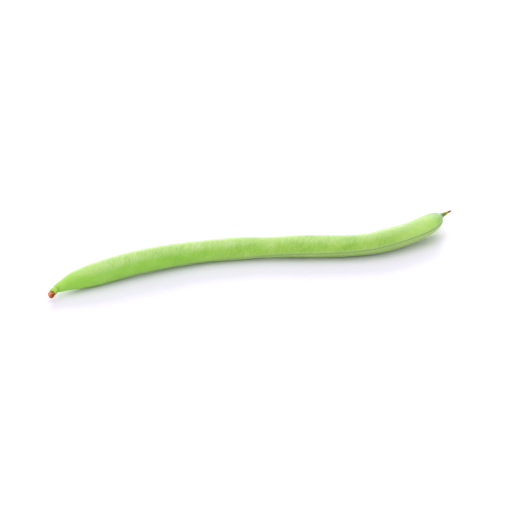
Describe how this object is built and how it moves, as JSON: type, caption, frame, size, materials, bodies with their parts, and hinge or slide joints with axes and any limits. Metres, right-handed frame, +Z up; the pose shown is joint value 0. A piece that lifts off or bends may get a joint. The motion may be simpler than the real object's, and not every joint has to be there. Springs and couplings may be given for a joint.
{
  "type": "green bean",
  "caption": "Fresh green bean lying on its flat side: a gently S-curved closed pod with fine sutures and a small beak, a dry calyx and a broken stem stub.",
  "frame": {"origin": "middle of the bean's box in plan, on the surface that it lies on", "axes": "+X along the bean from the stem to the beak, +Y across it to the far side of the picture's view, +Z up"},
  "size_m": [0.1492, 0.0292, 0.008],
  "materials": {
    "pod_skin": "satin fresh green skin with a pale bloom",
    "calyx": "pale yellow green, drying to brown at its edges",
    "dry_stem": "dry red brown fibres"
  },
  "bodies": {
    "root": {"pod": "pod_skin", "calyx": "calyx", "stem_stub": "dry_stem"}
  },
  "joints": []
}
